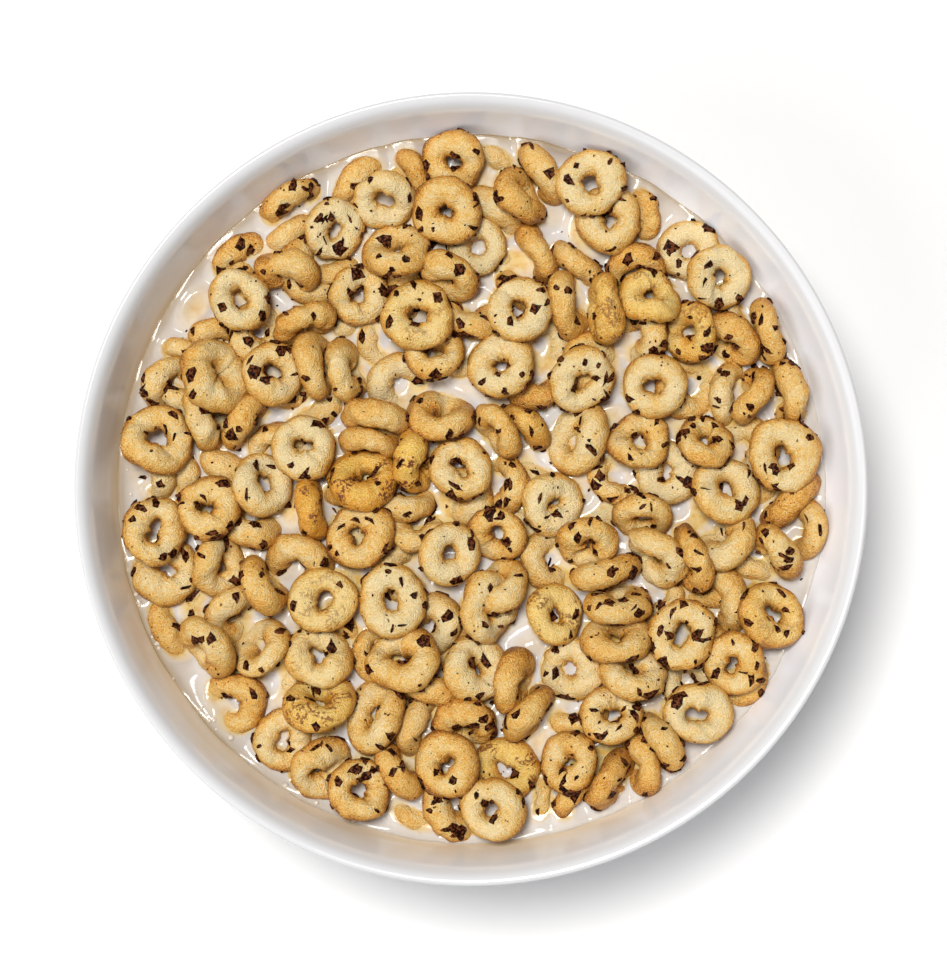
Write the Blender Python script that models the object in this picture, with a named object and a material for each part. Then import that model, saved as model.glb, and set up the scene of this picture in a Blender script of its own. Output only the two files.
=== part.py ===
"""A bowl of ring-shaped breakfast cereal in milk.

A round glazed bowl stands on its foot ring. Milk fills it to a little below the rim, and a heap of
small cereal rings floats in the milk: most of the heap shows above the surface, the rest is sunk.
Bowl, milk and heap are one closed solid each, and the solids keep a small gap where they meet.

Units are metres and +Z is up. The origin is on the table, under the centre of the bowl. Every
profile below is a list of (radius, height) points, turned about the Z axis.
"""

import math

import bmesh
import bpy
import numpy as np

MM = 0.001
SEGMENTS = 64  # sides of a turned shape

# Bowl
RIM_RADIUS = 75.0 * MM
BOWL_HEIGHT = 62.0 * MM
FOOT_OUTER_RADIUS = 31.0 * MM
FOOT_INNER_RADIUS = 27.0 * MM
FOOT_HEIGHT = 5.0 * MM
FOOT_RECESS = 3.5 * MM  # height of the hollow under the floor
OUTER_AXES = (76.7 * MM, 76.0 * MM)  # half width and half depth of the outer ellipse
INNER_AXES = (74.0 * MM, 69.0 * MM)  # the same for the ellipse of the inside
ELLIPSE_CENTRE = 77.0 * MM  # height of the centre of both ellipses, above the rim
LIP_ROUNDING = 1.1 * MM

# Milk
MILK_LEVEL = 48.0 * MM
GAP = 0.3 * MM  # between two solids that touch in the real thing

# Heap of cereal rings
HEAP_RADIUS = 63.0 * MM  # mean radius of its outline at the milk's surface
OUTLINE_WAVES = ((3, 0.9, 0.4), (5, 0.7, 1.9), (8, 0.5, 4.1))  # waves per turn, mm, phase
HEAP_DEPTH = 6.5 * MM  # of its sunk part
HEAP_TAPER = 5.0 * MM  # how far the sunk part draws in
HEAP_GRID = 50  # cells across the top, before it is cut back to the outline
CELL = 2.6 * MM
EDGE_MARGIN = 0.8 * MM  # grid corners nearer to the outline than this are cut off
RING_PITCH = 5  # cells from one ring to the next
RING_EDGE_RADIUS = 6.0 * MM
# Radius and height, from a ring's centre, of its hole, the crest of its tube and its outer edge
RING_SECTION = ((0.0, -1.5 * MM), (3.6 * MM, 2.5 * MM), (RING_EDGE_RADIUS, -1.2 * MM))
RING_SHIFT = 0.45 * MM  # how far a ring stands from its place in the rows
RING_LIFT = (0.2 * MM, 4.6 * MM)  # heights of ring centres above the milk
RING_SLOPE = 0.35  # steepest lean of a ring, rise over run
VALLEY_RISE = 0.6 * MM  # lowest height of the top above the milk
TOP_LIMIT = 7.5 * MM  # highest
SEED = 11


def clear_scene():
    """Removes whatever the scene holds."""
    for item in list(bpy.data.objects):
        bpy.data.objects.remove(item, do_unlink=True)


def make_material(name, colour, roughness):
    """A plain Principled material."""
    material = bpy.data.materials.new(name)
    material.use_nodes = True
    shader = material.node_tree.nodes["Principled BSDF"]
    shader.inputs["Base Color"].default_value = (*colour, 1.0)
    shader.inputs["Roughness"].default_value = roughness
    shader.inputs["Metallic"].default_value = 0.0
    return material


def make_object(name, bm, material=None):
    """Turns a bmesh into an object with outward normals and smooth shading."""
    bmesh.ops.recalc_face_normals(bm, faces=bm.faces)
    mesh = bpy.data.meshes.new(name)
    bm.to_mesh(mesh)
    bm.free()
    mesh.shade_smooth()
    mesh.set_sharp_from_angle(angle=math.radians(40.0))
    if material is not None:
        mesh.materials.append(material)
    item = bpy.data.objects.new(name, mesh)
    bpy.context.collection.objects.link(item)
    return item


def ellipse_radius(axes, height):
    """Radius of a bowl wall at a height: x = a * sqrt(1 - ((c - z) / b) ** 2)."""
    drop = (ELLIPSE_CENTRE - height) / axes[1]
    return axes[0] * math.sqrt(max(0.0, 1.0 - drop * drop))


def wall_points(axes, low, high, count):
    """Points up a wall, evenly spaced by the ellipse's own angle, so that they crowd the floor."""
    angles = np.linspace(
        math.asin(min(1.0, (ELLIPSE_CENTRE - low) / axes[1])),
        math.asin((ELLIPSE_CENTRE - high) / axes[1]),
        count,
    )
    return [
        (axes[0] * math.cos(angle), ELLIPSE_CENTRE - axes[1] * math.sin(angle))
        for angle in angles
    ]


def turn(profile):
    """Spins a profile that starts and ends on the Z axis into a closed turned shape."""
    bm = bmesh.new()
    points = [bm.verts.new((radius, 0.0, height)) for radius, height in profile]
    edges = [bm.edges.new(pair) for pair in zip(points, points[1:])]
    bmesh.ops.spin(
        bm,
        geom=points + edges,
        cent=(0.0, 0.0, 0.0),
        axis=(0.0, 0.0, 1.0),
        angle=2.0 * math.pi,
        steps=SEGMENTS,
        use_merge=True,
    )
    bmesh.ops.remove_doubles(bm, verts=bm.verts, dist=0.001 * MM)
    return bm


def lip_points(outer, inner, count=5):
    """A rounded lip: a half ellipse from the outer wall's top, over the rim, to the inner wall's top."""
    middle = (outer[0] + inner[0]) / 2.0
    half = (outer[0] - inner[0]) / 2.0
    angles = np.linspace(0.0, math.pi, count + 2)[1:-1]
    return [
        (middle + half * math.cos(angle), outer[1] + LIP_ROUNDING * math.sin(angle))
        for angle in angles
    ]


def bowl_profile():
    """From the hollow under the floor, round the foot ring, up the outside, over the lip and down the inside."""
    wall_top = BOWL_HEIGHT - LIP_ROUNDING
    outside = wall_points(OUTER_AXES, FOOT_HEIGHT + 2.5 * MM, wall_top, 11)
    inside = wall_points(INNER_AXES, ELLIPSE_CENTRE - INNER_AXES[1], wall_top, 11)
    rim_scale = RIM_RADIUS / ellipse_radius(OUTER_AXES, wall_top)
    outside[-1] = (outside[-1][0] * rim_scale, wall_top)
    under = [
        (0.0, FOOT_RECESS),
        (FOOT_INNER_RADIUS - 1.0 * MM, FOOT_RECESS),
        (FOOT_INNER_RADIUS, FOOT_RECESS - 1.0 * MM),
        (FOOT_INNER_RADIUS + 0.3 * MM, 0.0),
        (FOOT_OUTER_RADIUS - 0.3 * MM, 0.0),
        (FOOT_OUTER_RADIUS, 0.8 * MM),
        (FOOT_OUTER_RADIUS, FOOT_HEIGHT),
    ]
    return under + outside + lip_points(outside[-1], inside[-1]) + inside[::-1]


def make_bowl():
    """The bowl with its foot ring."""
    profile = bowl_profile()
    profile[-1] = (0.0, profile[-1][1])
    return make_object("bowl", turn(profile), make_material("glaze", (0.90, 0.90, 0.89), 0.12))


def outline_radius(angle):
    """Outline of the heap at the milk's surface: a circle with a few low waves."""
    waves = sum(size * MM * math.sin(count * angle + phase) for count, size, phase in OUTLINE_WAVES)
    return HEAP_RADIUS + waves


def inside_outline(x, y, margin):
    """Whether a point is inside the heap's outline by at least a margin."""
    return math.hypot(x, y) < outline_radius(math.atan2(y, x)) - margin


def ring_cell(i, j):
    """Row and column of the ring that a grid corner belongs to, and the corner's steps from its centre.

    Rings stand RING_PITCH cells apart, counted from the middle, and every second row is shifted by
    nearly half of that.
    """
    half = RING_PITCH // 2
    row = (j + half) // RING_PITCH
    shift = (row % 2) * half
    column = (i + half + shift) // RING_PITCH
    return row, column, i - (column * RING_PITCH - shift), j - row * RING_PITCH


def ring_scatter():
    """Shift, lift and lean of each ring, by row and column. Negative rows and columns wrap round."""
    scatter = np.random.default_rng(SEED)
    rows = HEAP_GRID // RING_PITCH + 2
    shift = scatter.uniform(-RING_SHIFT, RING_SHIFT, (rows, rows, 2))
    lift = scatter.uniform(*RING_LIFT, (rows, rows))
    slope = scatter.uniform(-RING_SLOPE, RING_SLOPE, (rows, rows, 2))
    return shift, lift, slope


def top_point(i, j, scatter):
    """Place of a grid corner on the heap's uneven top.

    A ring covers five by five corners. Its centre is the hole, the eight corners round that lie on
    the crest of its tube, and the next sixteen lie on its outer edge, both of them true circles.
    """
    shift, lift, slope = scatter
    row, column, across, along = ring_cell(i, j)
    centre_x = (i - across) * CELL + shift[row, column, 0]
    centre_y = (j - along) * CELL + shift[row, column, 1]
    if not inside_outline(centre_x, centre_y, RING_EDGE_RADIUS + GAP):
        return i * CELL, j * CELL, MILK_LEVEL + VALLEY_RISE
    radius, rise = RING_SECTION[max(abs(across), abs(along))]
    scale = radius / max(math.hypot(across, along), 1.0)
    step_x, step_y = across * scale, along * scale
    lean = slope[row, column, 0] * step_x + slope[row, column, 1] * step_y
    height = min(TOP_LIMIT, max(VALLEY_RISE, lift[row, column] + rise + lean))
    return centre_x + step_x, centre_y + step_y, MILK_LEVEL + height


def heap_top():
    """The heap's uneven top, a grid cut back to the outline, with rings in relief."""
    bm = bmesh.new()
    bmesh.ops.create_grid(
        bm, x_segments=HEAP_GRID, y_segments=HEAP_GRID, size=HEAP_GRID * CELL / 2.0
    )
    beyond = [vert for vert in bm.verts if not inside_outline(vert.co.x, vert.co.y, EDGE_MARGIN)]
    bmesh.ops.delete(bm, geom=beyond, context="VERTS")
    scatter = ring_scatter()
    for vert in bm.verts:
        if vert.is_boundary:
            angle = math.atan2(vert.co.y, vert.co.x)
            radius = outline_radius(angle)
            vert.co = (
                radius * math.cos(angle),
                radius * math.sin(angle),
                MILK_LEVEL + VALLEY_RISE,
            )
        else:
            vert.co = top_point(round(vert.co.x / CELL), round(vert.co.y / CELL), scatter)
    return bm


def extrude_edge_down(bm, height, draw_in):
    """Extrudes the open edge down to a height and draws it in towards the axis."""
    edge = [item for item in bm.edges if item.is_boundary]
    made = bmesh.ops.extrude_edge_only(bm, edges=edge)["geom"]
    for vert in (item for item in made if isinstance(item, bmesh.types.BMVert)):
        reach = math.hypot(vert.co.x, vert.co.y)
        scale = (reach - draw_in) / reach
        vert.co = (vert.co.x * scale, vert.co.y * scale, height)


def close_bottom(bm):
    """Fills the open edge with one flat face."""
    bmesh.ops.holes_fill(bm, edges=[item for item in bm.edges if item.is_boundary])


def make_heap():
    """The heap of cereal, one solid out to its uneven outline."""
    bm = heap_top()
    extrude_edge_down(bm, MILK_LEVEL, 0.0)
    extrude_edge_down(bm, MILK_LEVEL - HEAP_DEPTH, HEAP_TAPER)
    close_bottom(bm)
    return make_object("cereal", bm, make_material("cereal", (0.72, 0.50, 0.22), 0.8))


def make_pocket_cutter():
    """The heap's sunk shape, a gap larger all round and open above the milk."""
    corners = 72
    angles = [2.0 * math.pi * index / corners for index in range(corners)]
    clearance = 1.4 * GAP
    bm = bmesh.new()
    rim = [
        bm.verts.new(
            (
                (outline_radius(angle) + clearance) * math.cos(angle),
                (outline_radius(angle) + clearance) * math.sin(angle),
                MILK_LEVEL + 2.0 * MM,
            )
        )
        for angle in angles
    ]
    bm.faces.new(rim)
    extrude_edge_down(bm, MILK_LEVEL - clearance, 0.0)
    extrude_edge_down(bm, MILK_LEVEL - HEAP_DEPTH - clearance, HEAP_TAPER)
    close_bottom(bm)
    cutter = make_object("pocket_cutter", bm)
    cutter.hide_render = True
    cutter.display_type = "WIRE"
    return cutter


def make_milk():
    """The milk: the inside of the bowl up to its level, less the pocket that the heap fills."""
    axes = (INNER_AXES[0] - GAP, INNER_AXES[1] - GAP)
    wall = wall_points(axes, ELLIPSE_CENTRE - axes[1], MILK_LEVEL, 11)
    wall[0] = (0.0, wall[0][1])
    milk = make_object(
        "milk",
        turn(wall + [(0.0, MILK_LEVEL)]),
        make_material("milk", (0.88, 0.86, 0.81), 0.2),
    )
    cut = milk.modifiers.new("pocket", "BOOLEAN")
    cut.operation = "DIFFERENCE"
    cut.solver = "EXACT"
    cut.object = make_pocket_cutter()
    return milk


def main():
    """Builds the bowl, the milk and the heap of cereal."""
    clear_scene()
    make_bowl()
    make_milk()
    make_heap()


main()
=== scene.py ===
"""Looks of a bowl of cereal: a glazed bowl, milk, and a floating heap of puffed rings.

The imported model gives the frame: the bowl's size and the level of the milk. Every piece here is a
surface worked out on a grid, in metres, +Z up, with the origin on the table under the bowl.
"""

import logging
import math
from collections.abc import Callable
from dataclasses import dataclass, field
from enum import Enum

import bpy
import numpy as np
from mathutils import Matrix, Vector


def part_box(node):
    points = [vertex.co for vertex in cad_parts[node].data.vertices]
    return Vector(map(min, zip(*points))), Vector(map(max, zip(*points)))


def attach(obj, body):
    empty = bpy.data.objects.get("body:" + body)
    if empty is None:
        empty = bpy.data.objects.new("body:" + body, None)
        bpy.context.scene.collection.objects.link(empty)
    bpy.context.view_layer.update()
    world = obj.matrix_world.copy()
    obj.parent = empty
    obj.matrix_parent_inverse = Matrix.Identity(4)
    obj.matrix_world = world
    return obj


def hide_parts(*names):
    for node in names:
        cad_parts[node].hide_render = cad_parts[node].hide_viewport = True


MM = 0.001
TURN = 2.0 * math.pi
GOLDEN_ANGLE = math.pi * (3.0 - math.sqrt(5.0))
LOG = logging.getLogger("cereal")

Array = np.ndarray
Colour = tuple[float, float, float]
Worth = Callable[[Array, Array, Array], Array]

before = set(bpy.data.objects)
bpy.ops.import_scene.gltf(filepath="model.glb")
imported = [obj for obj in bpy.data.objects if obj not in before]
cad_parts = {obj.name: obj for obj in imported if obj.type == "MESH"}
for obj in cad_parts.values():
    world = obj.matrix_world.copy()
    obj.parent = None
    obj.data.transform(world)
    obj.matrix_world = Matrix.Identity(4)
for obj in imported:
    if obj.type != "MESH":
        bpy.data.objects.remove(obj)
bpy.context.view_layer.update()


# ---------------------------------------------------------------------------------------------
# Shader maths
# ---------------------------------------------------------------------------------------------


class Flow:
    """A value on its way through a shader. Python's operators add Math nodes to it."""

    def __init__(self, desk: "Desk", socket: bpy.types.NodeSocket) -> None:
        """Wraps an output socket of a node that stands on the desk."""
        self.desk = desk
        self.socket = socket

    def _math(self, operation: str, first: "Flow | float", second: "Flow | float") -> "Flow":
        """One Math node of two values."""
        return self.desk.node("ShaderNodeMath", {"operation": operation}, {0: first, 1: second})

    def __add__(self, other: "Flow | float") -> "Flow":
        """Sum."""
        return self._math("ADD", self, other)

    __radd__ = __add__

    def __sub__(self, other: "Flow | float") -> "Flow":
        """Difference."""
        return self._math("SUBTRACT", self, other)

    def __rsub__(self, other: float) -> "Flow":
        """Difference, with this value taken from a number."""
        return self._math("SUBTRACT", other, self)

    def __mul__(self, other: "Flow | float") -> "Flow":
        """Product."""
        return self._math("MULTIPLY", self, other)

    __rmul__ = __mul__

    def step(self, low: float, high: float) -> "Flow":
        """Rises smoothly from 0 at low to 1 at high, or falls where high is the smaller."""
        return self.desk.node(
            "ShaderNodeMapRange",
            {"interpolation_type": "SMOOTHSTEP"},
            {0: self, 1: low, 2: high, 3: 0.0, 4: 1.0},
        )


class Desk:
    """Lays out the nodes of one material."""

    def __init__(self, name: str) -> None:
        """Starts a material that holds a Principled shader and its output."""
        self.material = bpy.data.materials.new(name)
        self.material.use_nodes = True
        self.tree = self.material.node_tree
        self.shader = self.tree.nodes["Principled BSDF"]

    def node(self, kind: str, settings: dict, values: dict, output: int | str = 0) -> Flow:
        """Adds a node.

        Args:
            kind: the node's type, such as ShaderNodeMath.
            settings: its own properties, set first. "stops" gives a ramp its (place, colour) pairs.
            values: number, colour or Flow for each input, by index or name.
            output: which of its outputs to use.

        Returns:
            The output as a Flow.
        """
        made = self.tree.nodes.new(kind)
        for key, value in settings.items():
            if key == "stops":
                self._set_stops(made.color_ramp, value)
            else:
                setattr(made, key, value)
        for key, value in values.items():
            self.feed(made.inputs[key], value)
        return Flow(self, made.outputs[output])

    @staticmethod
    def _set_stops(ramp: bpy.types.ColorRamp, stops: list[tuple[float, Colour]]) -> None:
        """Gives a colour ramp its stops."""
        while len(ramp.elements) < len(stops):
            ramp.elements.new(1.0)
        for element, (place, colour) in zip(ramp.elements, stops):
            element.position = place
            element.color = (*colour, 1.0)

    def feed(self, socket: bpy.types.NodeSocket, value: "Flow | float | Colour") -> None:
        """Links a Flow to an input, or sets the input's own value."""
        if isinstance(value, Flow):
            self.tree.links.new(value.socket, socket)
        elif isinstance(value, tuple) and len(socket.default_value) == 4:
            socket.default_value = (*value, 1.0)
        else:
            socket.default_value = value

    def place(self) -> Flow:
        """The point's place on the object."""
        return self.node("ShaderNodeTexCoord", {}, {}, "Object")

    def noise(self, place: Flow, size: float, detail: float = 2.0, rough: float = 0.5) -> Flow:
        """Noise from 0 to 1 whose lumps are about size metres across."""
        values = {"Vector": place, "Scale": 1.0 / size, "Detail": detail, "Roughness": rough}
        return self.node("ShaderNodeTexNoise", {}, values, "Fac")

    def attribute(self, name: str) -> Flow:
        """A number stored on the mesh."""
        return self.node("ShaderNodeAttribute", {"attribute_name": name}, {}, "Fac")

    def blend(self, amount: "Flow | float", first: "Flow | Colour", second: "Flow | Colour") -> Flow:
        """A colour between two colours."""
        return self.node("ShaderNodeMix", {"data_type": "RGBA"}, {0: amount, 6: first, 7: second}, 2)

    def ramp(self, amount: Flow, stops: list[tuple[float, Colour]]) -> Flow:
        """A colour picked along a row of stops."""
        return self.node("ShaderNodeValToRGB", {"stops": stops}, {0: amount}, "Color")

    def bump(self, height: Flow, depth: float) -> Flow:
        """A normal for relief of this depth in metres."""
        values = {"Strength": 1.0, "Distance": depth, "Height": height}
        return self.node("ShaderNodeBump", {}, values, "Normal")

    def finish(self, **inputs: "Flow | float | Colour") -> bpy.types.Material:
        """Feeds the shader's inputs, named with underscores, and returns the material."""
        for name, value in inputs.items():
            self.feed(self.shader.inputs[name.replace("_", " ")], value)
        return self.material


# ---------------------------------------------------------------------------------------------
# Finishes
# ---------------------------------------------------------------------------------------------


@dataclass(frozen=True)
class Glaze:
    """Glossy white glaze: painted light on the inner wall, painted shade on the lip, and a painted reflection
    of the rings low inside.
    """

    colour: Colour = (0.86, 0.86, 0.868)
    clouded: Colour = (0.83, 0.832, 0.845)
    painted_wall_light: Colour = (0.88, 0.905, 0.955)
    lip: Colour = (0.62, 0.62, 0.63)
    painted_reflection: Colour = (0.66, 0.50, 0.28)
    roughness: float = 0.15
    ripple_size: float = 9.0 * MM
    ripple_depth: float = 0.05 * MM

    def build(self) -> bpy.types.Material:
        """Makes the material."""
        desk = Desk("white_glaze")
        place = desk.place()
        clouds = desk.noise(place, 22.0 * MM, 3.0)
        ripple = desk.noise(place, self.ripple_size, 1.0)
        glaze = desk.blend(clouds.step(0.35, 0.75), self.colour, self.clouded)
        # Painted light: the inner wall below the lip is painted paler and cooler than the rest of the glaze.
        glaze = desk.blend(desk.attribute("pool"), glaze, self.painted_wall_light)
        # Painted shade: the lip is painted a darker grey.
        glaze = desk.blend(desk.attribute("lip"), glaze, self.lip)
        return desk.finish(
            # Painted reflection: the brown of the rings, with painted shade, low on the inner wall.
            Base_Color=desk.blend(desk.attribute("painted_reflection"), glaze, self.painted_reflection),
            Roughness=desk.noise(place, 3.0 * MM, 2.0) * 0.06 + (self.roughness - 0.03),
            Normal=desk.bump(ripple, self.ripple_depth),
            IOR=1.5,
        )


@dataclass(frozen=True)
class BareClay:
    """Unglazed clay on the edge of the foot ring."""

    colour: Colour = (0.62, 0.57, 0.49)
    grit: Colour = (0.42, 0.36, 0.29)

    def build(self) -> bpy.types.Material:
        """Makes the material."""
        desk = Desk("bare_clay")
        place = desk.place()
        grain = desk.noise(place, 0.5 * MM, 4.0)
        return desk.finish(
            Base_Color=desk.blend(grain.step(0.55, 0.75), self.colour, self.grit),
            Roughness=0.85,
            Normal=desk.bump(grain, 0.15 * MM),
        )


@dataclass(frozen=True)
class MilkFinish:
    """Milk, with a tint where a sunk ring shows through a thin film of it, and a painted shadow along the
    bowl.
    """

    colour: Colour = (0.65, 0.62, 0.595)
    film: Colour = (0.66, 0.49, 0.20)
    film_gold: Colour = (0.60, 0.36, 0.075)
    painted_shore_shadow: Colour = (0.28, 0.19, 0.085)
    roughness: float = 0.15

    def build(self) -> bpy.types.Material:
        """Makes the material."""
        desk = Desk("milk")
        place = desk.place()
        mottle = desk.noise(place, 1.6 * MM, 3.0)
        film = desk.blend(mottle.step(0.40, 0.68), self.film, self.film_gold)
        swirl = desk.noise(place, 7.0 * MM, 2.0)
        body = desk.blend(desk.attribute("film"), self.colour, film)
        return desk.finish(
            # Painted shadow: the milk darkens to brown along the bowl, most at the back left.
            Base_Color=desk.blend(desk.attribute("painted_shore_shadow"), body, self.painted_shore_shadow),
            Roughness=self.roughness,
            Normal=desk.bump(swirl, 0.12 * MM),
            IOR=1.35,
            Subsurface_Weight=0.35,
            Subsurface_Radius=(2.2, 1.7, 1.3),
            Subsurface_Scale=1.0 * MM,
        )


@dataclass(frozen=True)
class CerealFinish:
    """Puffed oat: mottled and porous, golden at its edges from toasting and painted shade, painted shade
    where it faces down, painted glints, and shiny where it is wet.
    """

    cream: Colour = (0.72, 0.57, 0.305)
    straw: Colour = (0.70, 0.43, 0.108)
    golden: Colour = (0.60, 0.255, 0.018)
    brown: Colour = (0.25, 0.070, 0.003)
    amber: Colour = (0.76, 0.49, 0.085)
    deep_amber: Colour = (0.64, 0.275, 0.012)
    scorch: Colour = (0.17, 0.040, 0.006)
    speck: Colour = (0.05, 0.012, 0.003)
    glint: Colour = (0.93, 0.78, 0.47)
    milky: Colour = (0.69, 0.53, 0.22)

    def build(self) -> bpy.types.Material:
        """Makes the material."""
        desk = Desk("puffed_oat")
        place = desk.place()
        blotch = desk.noise(place, 3.2 * MM, 2.0)
        grain = desk.noise(place, 1.15 * MM, 3.0, 0.6)
        pores = desk.noise(place, 0.32 * MM, 2.0, 0.55)
        # The toast attribute holds toasting and painted shade: the edges and what faces down are darker.
        toast = desk.attribute("toast")
        amount = toast + (blotch - 0.5) * 0.60 - (grain - 0.5) * 0.80 - (pores - 0.5) * 1.55
        stops = [(0.0, self.cream), (0.33, self.straw), (0.70, self.golden), (1.0, self.brown)]
        wet = desk.attribute("wet")
        roasted = desk.attribute("roasted")
        syrup = desk.blend(amount.step(0.15, 0.85), self.amber, self.deep_amber)
        body = desk.blend(wet * 0.45, desk.ramp(amount * 0.84, stops), self.milky)
        body = desk.blend(roasted * 0.85, body, syrup)
        # Painted glints: pale specks in the colour that stand in for small highlights.
        glints = desk.noise(place, 0.26 * MM, 1.0).step(0.56, 0.70) * (0.62 - toast * 0.30)
        body = desk.blend(glints, body, self.glint)
        scorch = desk.noise(place, 0.6 * MM, 2.0).step(0.46, 0.54) * blotch.step(0.52, 0.60)
        body = desk.blend(scorch * roasted, body, self.scorch)
        dots = desk.noise(place, 0.8 * MM, 1.0).step(0.735, 0.76)
        shine = 0.50 - pores.step(0.50, 0.62) * 0.28
        relief = grain * 0.34 + pores * 0.46 + blotch * 0.62
        return desk.finish(
            Base_Color=desk.blend(dots * 0.85, body, self.speck),
            Roughness=shine - wet * 0.10,
            Normal=desk.bump(relief, 1.1 * MM),
            IOR=1.47,
            Subsurface_Weight=0.20,
            Subsurface_Radius=(1.2, 0.6, 0.22),
            Subsurface_Scale=0.9 * MM,
        )


@dataclass(frozen=True)
class ChocolateFinish:
    """Dark chocolate, almost black, with paler broken faces."""

    dark: Colour = (0.010, 0.0016, 0.0004)
    broken: Colour = (0.125, 0.038, 0.013)
    roughness: float = 0.42

    def build(self) -> bpy.types.Material:
        """Makes the material."""
        desk = Desk("dark_chocolate")
        place = desk.place()
        faces = desk.noise(place, 0.55 * MM, 2.0)
        return desk.finish(
            Base_Color=desk.blend(faces.step(0.46, 0.60), self.dark, self.broken),
            Roughness=faces * 0.3 + (self.roughness - 0.1),
            Normal=desk.bump(faces, 0.25 * MM),
            Specular_IOR_Level=0.05,
        )


@dataclass(frozen=True)
class BubbleFinish:
    """The thin skin of a milk bubble."""

    colour: Colour = (0.72, 0.66, 0.58)
    mottled: Colour = (0.55, 0.47, 0.36)

    def build(self) -> bpy.types.Material:
        """Makes the material."""
        desk = Desk("milk_bubble")
        mottle = desk.noise(desk.place(), 0.5 * MM, 1.0)
        return desk.finish(
            Base_Color=desk.blend(mottle, self.colour, self.mottled),
            Roughness=0.05,
            IOR=1.35,
        )


@dataclass(frozen=True)
class FloorFinish:
    """A matt white surface."""

    colour: Colour = (0.78, 0.78, 0.78)
    paler: Colour = (0.79, 0.79, 0.79)

    def build(self) -> bpy.types.Material:
        """Makes the material."""
        desk = Desk("white_table")
        tone = desk.noise(desk.place(), 300.0 * MM, 1.0)
        return desk.finish(
            Base_Color=desk.blend(tone, self.colour, self.paler),
            Roughness=0.9,
            Specular_IOR_Level=0.1,
        )


# ---------------------------------------------------------------------------------------------
# Meshes
# ---------------------------------------------------------------------------------------------


def make_mesh(name: str, points: Array, quads: Array, triangles: Array | None = None) -> bpy.types.Object:
    """Puts arrays of points and faces into a smooth mesh object at the origin.

    Args:
        name: the piece's name.
        points: (N, 3) places in metres.
        quads: (Q, 4) corners of four-sided faces, counter-clockwise from outside.
        triangles: (T, 3) corners of three-sided faces.

    Returns:
        The object, linked to the scene.
    """
    triangles = np.zeros((0, 3), int) if triangles is None else triangles
    mesh = bpy.data.meshes.new(name)
    mesh.vertices.add(len(points))
    mesh.vertices.foreach_set("co", points.astype(np.float32).ravel())
    corners = np.concatenate([quads.ravel(), triangles.ravel()])
    mesh.loops.add(len(corners))
    mesh.loops.foreach_set("vertex_index", corners.astype(np.int32))
    sides = np.concatenate([np.full(len(quads), 4), np.full(len(triangles), 3)])
    starts = np.concatenate([[0], np.cumsum(sides)[:-1]])
    mesh.polygons.add(len(sides))
    mesh.polygons.foreach_set("loop_start", starts.astype(np.int32))
    mesh.update(calc_edges=True)
    mesh.shade_smooth()
    item = bpy.data.objects.new(name, mesh)
    bpy.context.scene.collection.objects.link(item)
    return item


def store(item: bpy.types.Object, name: str, values: Array) -> None:
    """Stores one number for each vertex of a piece."""
    attribute = item.data.attributes.new(name, "FLOAT", "POINT")
    attribute.data.foreach_set("value", values.astype(np.float32).ravel())


def store_map(item: bpy.types.Object, places: Array) -> None:
    """Gives a piece its UV map: one place in the unit square for each corner of each face."""
    layer = item.data.uv_layers.new(name="OFBake")
    layer.data.foreach_set("uv", places.astype(np.float32).ravel())


def spread_cells(shape: Array, count: int, wide: int) -> Array:
    """Repeats a map in a grid of cells, wide cells to a row: (shape + (i mod w, i div w)) / cells.

    Args:
        shape: (faces, corners, 2) places in the unit square, for one part.
        count: number of parts, each with a cell of its own.
        wide: number of cells in a row.

    Returns:
        (count, faces, corners, 2) places in the unit square.
    """
    tall = -(-count // wide)
    index = np.arange(count)
    corner = np.stack([index % wide, index // wide], -1)[:, None, None]
    return (0.03 + 0.94 * shape[None] + corner) / [wide, tall]


def dress(item: bpy.types.Object, material: bpy.types.Material, slot: str, *nodes: str) -> None:
    """Gives a piece its material and its place in the frame.

    Args:
        item: the piece.
        material: its material.
        slot: the record's material slot; not used.
        nodes: the CAD nodes that it stands for.
    """
    item.data.materials.append(material)
    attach(item, "root")
    if nodes:
        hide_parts(*nodes)


def grid_quads(rows: int, columns: int, wrap_rows: bool, wrap_columns: bool) -> Array:
    """Corners of the faces of a grid of vertices stored row by row.

    Face (i, j) has the corners (i, j), (i, j + 1), (i + 1, j + 1) and (i + 1, j), counted round
    where the grid closes on itself.
    """
    i, j = np.meshgrid(
        np.arange(rows - (not wrap_rows)),
        np.arange(columns - (not wrap_columns)),
        indexing="ij",
    )
    following_i, following_j = (i + 1) % rows, (j + 1) % columns
    corners = [
        i * columns + j,
        i * columns + following_j,
        following_i * columns + following_j,
        following_i * columns + j,
    ]
    return np.stack(corners, -1).reshape(-1, 4)


def fan(hub: int, rim: Array, faces_up: bool) -> Array:
    """Triangles from one vertex to every edge of a closed rim.

    Args:
        hub: number of the vertex in the middle.
        rim: numbers of the vertices round it, counter-clockwise from above.
        faces_up: whether the triangles face up, or down.

    Returns:
        (N, 3) corners.
    """
    following = np.roll(rim, -1)
    first, second = (rim, following) if faces_up else (following, rim)
    return np.stack([np.full(len(rim), hub), first, second], -1)


def turn_section(section: Array, sides: int) -> Array:
    """Turns (radius, height) points about the Z axis: point (i, j) is (r_i cos t_j, r_i sin t_j, z_i)."""
    angle = np.arange(sides) * TURN / sides
    across, up = section[:, :1], section[:, 1:]
    places = [across * np.cos(angle), across * np.sin(angle), np.repeat(up, sides, 1)]
    return np.stack(places, -1).reshape(-1, 3)


def parabola(start: Array, corner: Array, end: Array, count: int) -> Array:
    """Points strictly between two ends: (1 - t)^2 A + 2 t (1 - t) C + t^2 B, with C the corner."""
    share = np.linspace(0.0, 1.0, count)[1:-1, None]
    return (1.0 - share) ** 2 * start + 2.0 * share * (1.0 - share) * corner + share**2 * end


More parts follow.
